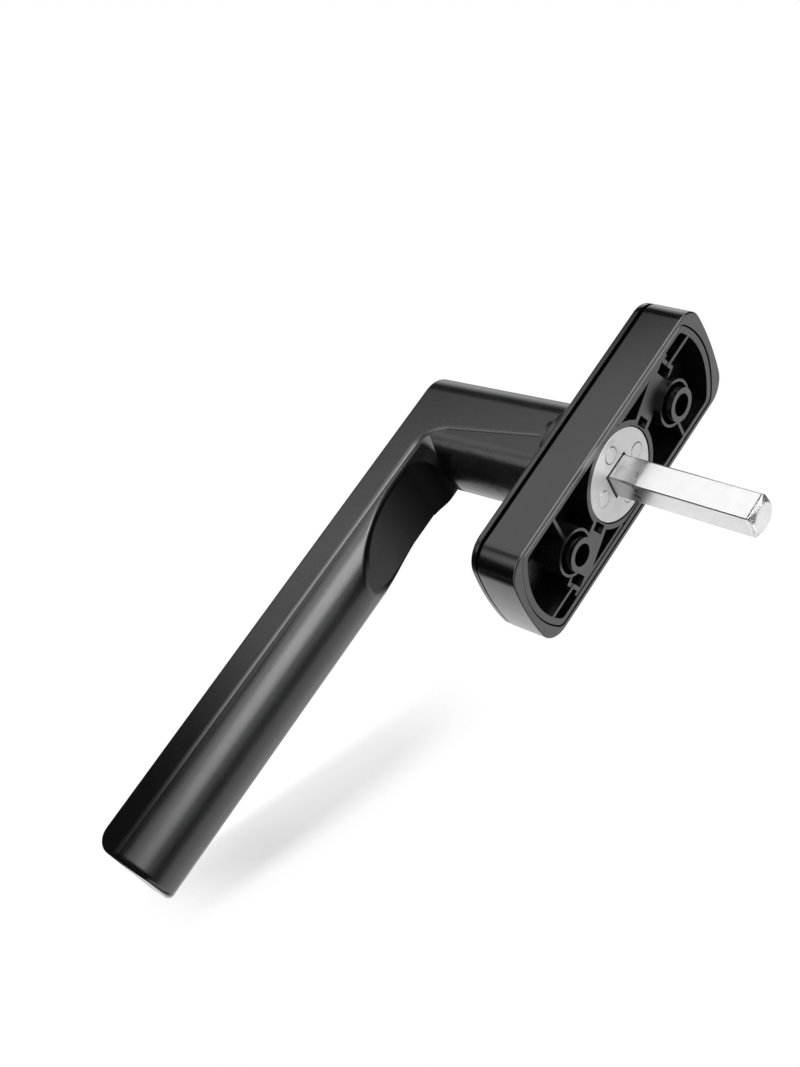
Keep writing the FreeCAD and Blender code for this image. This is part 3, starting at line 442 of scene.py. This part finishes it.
# %% Dress the pieces
SAME_CORNER = 2e-6
SHARP_CASTING, SHARP_BALL = 24, 50  # edges that turn by more degrees than this stay sharp
RIM_LEVELS = (-49, -20)
RIM_HALF_WIDTH = 9.4
RIM_TURN = math.radians(12)
RIM_ROUNDING = 1.0 * MM


def hollow_floor(z):
    """Height (y, in mm) of the thumb hollow's floor at the level z: flat at the elbow, then an arc."""
    return -44.95 + max(0.0, -22.5 - z) ** 2 / 114


def on_rim(edge):
    if not edge.is_manifold or edge.calc_face_angle(0.0) < RIM_TURN:
        return False
    for vert in edge.verts:
        x, y, z = (c / MM for c in vert.co)
        if not RIM_LEVELS[0] < z < RIM_LEVELS[1] or abs(x) > RIM_HALF_WIDTH or abs(y - hollow_floor(z)) > 0.6:
            return False
    return True


def round_rim(form):
    """Round the rim of the thumb hollow, where its floor cuts the round back of the grip."""
    bmesh.ops.dissolve_limit(
        form, angle_limit=math.radians(0.2), verts=form.verts, edges=form.edges, use_dissolve_boundaries=False
    )
    rim = [edge for edge in form.edges if on_rim(edge)]
    bmesh.ops.bevel(
        form, geom=rim, offset=RIM_ROUNDING, offset_type="OFFSET", segments=4, profile=0.5, affect="EDGES",
        clamp_overlap=False,
    )
    print("rim edges rounded:", len(rim))


def baked(piece):
    """Replace a piece's mesh by the result of its modifiers."""
    bpy.context.view_layer.update()
    seen = piece.evaluated_get(bpy.context.evaluated_depsgraph_get())
    mesh = bpy.data.meshes.new_from_object(seen)
    piece.modifiers.clear()
    piece.data = mesh
    return piece


def smooth_skin(node, sharp_degrees, shape=None):
    mesh = frame["nodes"][node].data.copy()
    form = bmesh.new()
    form.from_mesh(mesh)
    bmesh.ops.remove_doubles(form, verts=form.verts, dist=SAME_CORNER)
    if shape:
        shape(form)
    for face in form.faces:
        face.smooth = True
    for edge in form.edges:
        edge.smooth = edge.is_manifold and edge.calc_face_angle(0.0) < math.radians(sharp_degrees)
    form.to_mesh(mesh)
    form.free()
    piece = linked(node + "_skin", mesh)
    weights = piece.modifiers.new("weights", "WEIGHTED_NORMAL")
    weights.mode = "FACE_AREA"
    weights.weight = 80
    weights.keep_sharp = True
    return baked(piece)


def finish(piece, material, node):
    """Give a piece its material, and let it stand for the node and on its body."""
    piece.data.materials.clear()
    piece.data.materials.append(material)
    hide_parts(node)
    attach(piece, body_of_node[node])


for node, material in finish_of.items():
    sharp = SHARP_BALL if node.startswith("detent_ball") else SHARP_CASTING
    piece = smooth_skin(node, sharp, round_rim if node == "lever" else None)
    finish(piece, material, node)
    print(node, "faces:", len(piece.data.polygons))

# %% [markdown]
# ## Coil springs
# The solid spring is a plain helix. A real one is wound shut at both ends, so that it stands square on its
# seat and on the ball. One tree of Geometry Nodes winds it: the height of a point follows from its count of
# turns, slowly over the first and the last turn and steeply between them. Both channels use the same tree.

# %% Wind the springs
CHANNELS = ((1, 70.2), (2, 250.2))  # number and direction in degrees
SPRING_START = 15.02 * MM  # from the axis
SPRING_LENGTH = 10.78 * MM
SPRING_LEVEL = -3.6 * MM
COIL_RADIUS = 1.45 * MM
WIRE_RADIUS = 0.3 * MM
COIL_TURNS = 9.3
SHUT_PITCH = 2.06  # in wire radii: the end turns nearly touch


def within(board, value, most):
    return maths(board, "MINIMUM", larger(board, value, 0.0), most)


def coil_tree(material):
    tree = bpy.data.node_groups.new("coil_spring", "GeometryNodeTree")
    floats = ("Mean Radius", "Wire Radius", "Length", "Turns")
    for name in (*floats, "Direction", "Start"):
        kind = "NodeSocketFloat" if name in floats else "NodeSocketVector"
        tree.interface.new_socket(name=name, in_out="INPUT", socket_type=kind)
    tree.interface.new_socket(name="Geometry", in_out="OUTPUT", socket_type="NodeSocketGeometry")
    board = Board(tree)
    given = board.add("NodeGroupInput")
    radius, wire, length, turns = (given[name] for name in floats)
    line = {"Resolution": 28, "Rotations": turns, "Start Radius": radius, "End Radius": radius, "Height": length}
    helix = board.add("GeometryNodeCurveSpiral", {}, line)[0]
    at = board.add("ShaderNodeSeparateXYZ", {}, {0: board.add("GeometryNodeInputPosition")[0]})
    count = at[2] / length * turns
    shut = wire * SHUT_PITCH
    free = (length - shut * 2.0) / (turns - 2.0)
    level = within(board, count, 1.0) * shut + within(board, count - 1.0, turns - 2.0) * free
    level = level + within(board, count - (turns - 1.0), 1.0) * shut
    point = board.add("ShaderNodeCombineXYZ", {}, {0: at[0], 1: at[1], 2: level})[0]
    wound = board.add("GeometryNodeSetPosition", {}, {"Geometry": helix, "Position": point})[0]
    ring = board.add("GeometryNodeCurvePrimitiveCircle", {"mode": "RADIUS"}, {"Resolution": 12, "Radius": wire})[0]
    swept = {"Curve": wound, "Profile Curve": ring, "Fill Caps": True}
    rod = board.add("GeometryNodeCurveToMesh", {}, swept)[0]
    aim = board.add("FunctionNodeEulerToRotation", {}, {0: given["Direction"]})[0]
    put = {"Geometry": rod, "Translation": given["Start"], "Rotation": aim}
    placed = board.add("GeometryNodeTransform", {}, put)[0]
    smooth = board.add("GeometryNodeSetShadeSmooth", {}, {"Geometry": placed})[0]
    real = board.add("GeometryNodeRealizeInstances", {}, {0: smooth})[0]
    done = board.add("GeometryNodeSetMaterial", {}, {"Geometry": real, "Material": material})[0]
    board.add("NodeGroupOutput", {}, {"Geometry": done})
    return tree


def grown(name, tree, **inputs):
    """Run a tree with these inputs and keep its result as a plain mesh; an underscore stands for a space."""
    piece = linked(name, bpy.data.meshes.new(name))
    run = piece.modifiers.new("tree", "NODES")
    run.node_group = tree
    for item in tree.interface.items_tree:
        if item.in_out == "INPUT":
            run[item.identifier] = inputs[item.name.replace(" ", "_")]
    return baked(piece)


coils = coil_tree(spring_wire)
for number, degrees in CHANNELS:
    angle = math.radians(degrees)
    coil = grown(
        "coil_%d" % number, coils,
        Mean_Radius=COIL_RADIUS, Wire_Radius=WIRE_RADIUS, Length=SPRING_LENGTH, Turns=COIL_TURNS,
        Direction=(0.0, math.pi / 2 - angle, 0.0),
        Start=(SPRING_START * math.cos(angle), SPRING_LEVEL, SPRING_START * math.sin(angle)),
    )
    finish(coil, spring_wire, "detent_spring_%d" % number)
    print(coil.name, "faces:", len(coil.data.polygons))

# %% [markdown]
# ## The white table
# The handle stands on the tip of its grip, and the table runs under it, tilted in the handle's own frame.
# It shows only around the shadow and only from above; elsewhere it is clear, and so it is to mirrors. Its
# white is partly its own, so that the paper stays white while the shadow still shows.

# %% Build the table
TABLE_UP = Vector((0.90, 0.02, 0.44)).normalized()
TABLE_REACH = 0.6
FOOT = Vector((-10.0, -50.0, -129.5)) * MM  # the grip's tip
FOOT_GAP = 2.5 * MM
PAPER_GLOW = 0.39
SHADOW_MIDDLE = Vector((-35.0, -44.5, -87.5)) * MM
SHADOW_INNER, SHADOW_OUTER = 0.018, 0.056

table_side = TABLE_UP.cross(Vector((0, 1, 0))).normalized()
table_back = table_side.cross(TABLE_UP).normalized()
ways = ((-1, -1), (1, -1), (1, 1), (-1, 1))
corners = [FOOT - TABLE_UP * FOOT_GAP + (table_side * a + table_back * b) * TABLE_REACH for a, b in ways]
table_mesh = bpy.data.meshes.new("table")
table_mesh.from_pydata(corners, [], [(0, 1, 2, 3)])
if table_mesh.polygons[0].normal.dot(TABLE_UP) < 0:
    table_mesh.flip_normals()
table = linked("table", table_mesh)

paper = bpy.data.materials.new("table_paper")
paper.use_nodes = True
paper.node_tree.nodes.clear()
board = Board(paper.node_tree)
lit = board.add("ShaderNodeBsdfDiffuse", {}, {"Color": (0.9, 0.9, 0.9, 1.0)})[0]
own = board.add("ShaderNodeEmission", {}, {"Color": (1.0, 1.0, 1.0, 1.0), "Strength": PAPER_GLOW})[0]
both = board.add("ShaderNodeAddShader", {}, {0: lit, 1: own})[0]
clear = board.add("ShaderNodeBsdfTransparent")[0]
behind = board.add("ShaderNodeNewGeometry")["Backfacing"]
mirrored = board.add("ShaderNodeLightPath")["Is Glossy Ray"]
place = board.add("ShaderNodeTexCoord")["Object"]
fade = ease(board, distance(board, place, SHADOW_MIDDLE), SHADOW_INNER, SHADOW_OUTER)
gone = larger(board, larger(board, behind, mirrored), fade)
surface = board.add("ShaderNodeMixShader", {}, {0: gone, 1: both, 2: clear})[0]
board.add("ShaderNodeOutputMaterial", {}, {"Surface": surface})
table_mesh.materials.append(paper)
print("table stands at", [round(c / MM, 1) for c in FOOT])

# %% [markdown]
# ## The light
# A black coat shows hardly any colour of its own: what one sees is the studio, mirrored in its skin. So
# the studio is built with care. One soft lamp hangs close above the handle; because it is near, its mirror
# image moves along the grip, and that draws the light band. A second lamp only throws the shadow and is
# not mirrored.

# %% Set the lamps
LIT_POINT = Vector((0.0, -0.025, -0.045))


def from_camera(toward):
    """A direction told as right, up and back of the camera."""
    return (right * toward[0] + up * toward[1] + back * toward[2]).normalized()


def soft_lamp(name, toward, away, wide, high, lean, glow):
    """A flat lamp that looks at the handle's middle; lean turns it about its axis, glow is its radiance."""
    data = bpy.data.lights.new(name, "AREA")
    data.shape = "RECTANGLE"
    data.size = wide
    data.size_y = high
    data.energy = glow * math.pi * wide * high
    direction = from_camera(toward)
    level = up.cross(direction).normalized()
    side = level * math.cos(lean) + direction.cross(level) * math.sin(lean)
    turned = Matrix((side, direction.cross(side), direction)).transposed().to_4x4()
    lamp = linked(name, data)
    lamp.matrix_world = Matrix.Translation(LIT_POINT + direction * away) @ turned
    lamp.visible_camera = False
    return lamp


soft_lamp("overhead_softbox", (-0.44, 0.87, 0.14), 0.345, 0.150, 0.294, -0.68, 2.0)
shade_lamp = soft_lamp("shadow_softbox", (-0.51, 0.71, 0.63), 0.70, 0.15, 0.15, 0.0, 20.0)
shade_lamp.visible_glossy = False

# %% [markdown]
# ## The room
# The world gives a plain fill, and the camera sees it white. To mirrors it shows a room: pale paper behind
# the handle, which is dimmer high up, a few soft bright panels around the camera, and dark gaps between
# them. A panel is a patch around a direction; its two cosines say where it starts and where it is full.

# %% Build the room
FILL, WHITE, PAPER_WALL = 0.5, 1.0, 0.85
PANELS = (
    # direction (right, up, back), cosine at the edge, cosine where full, strength
    ((-0.27, -0.56, -0.78), 0.85, 0.97, 0.7),
    ((0.86, -0.43, -0.18), 0.770, 0.942, 1.48),
    ((-0.70, 0.22, 0.59), 0.854, 0.968, 3.71),
    ((0.19, 0.69, 0.51), 0.739, 0.949, 4.32),
    ((0.46, 0.35, 0.78), 0.946, 0.988, 7.08),
    ((0.69, 0.50, 0.70), 0.699, 0.999, 1.86),
    ((0.13, 0.78, -0.60), 0.93, 0.99, 1.4),
    ((0.40, -0.91, 0.10), 0.84, 0.97, 1.5),
    ((-0.25, -0.85, 0.46), 0.84, 0.97, 1.5),
    ((-0.12, -0.30, 0.95), 0.86, 0.97, 1.6),
    ((-0.62, -0.55, 0.56), 0.85, 0.98, 1.2),
)

world = bpy.data.worlds.new("studio")
bpy.context.scene.world = world
world.use_nodes = True
world.cycles.sampling_method = "NONE"
world.node_tree.nodes.clear()
board = Board(world.node_tree)
ray = board.add("ShaderNodeTexCoord")["Generated"]


def along(axis):
    return board.add("ShaderNodeVectorMath", {"operation": "DOT_PRODUCT"}, {0: ray, 1: tuple(axis)})["Value"]


def background(strength):
    return board.add("ShaderNodeBackground", {}, {"Color": (1, 1, 1, 1), "Strength": strength})[0]


wall = ease(board, along(back) * -1.0, 0.47, 0.73) * (1.0 - ease(board, along(up), 0.2, 0.5) * 0.35)
room = wall * PAPER_WALL
for toward, edge, full, strength in PANELS:
    room = room + ease(board, along(from_camera(toward)), edge, full) * strength
path = board.add("ShaderNodeLightPath")
unseen = board.add("ShaderNodeMixShader", {}, {0: path["Is Glossy Ray"], 1: background(FILL), 2: background(room)})[0]
direct = path["Is Camera Ray"] + path["Is Transmission Ray"]
sky = board.add("ShaderNodeMixShader", {}, {0: direct > 0.5, 1: unseen, 2: background(WHITE)})[0]
board.add("ShaderNodeOutputWorld", {}, {"Surface": sky})
print("panels in the room:", len(PANELS))
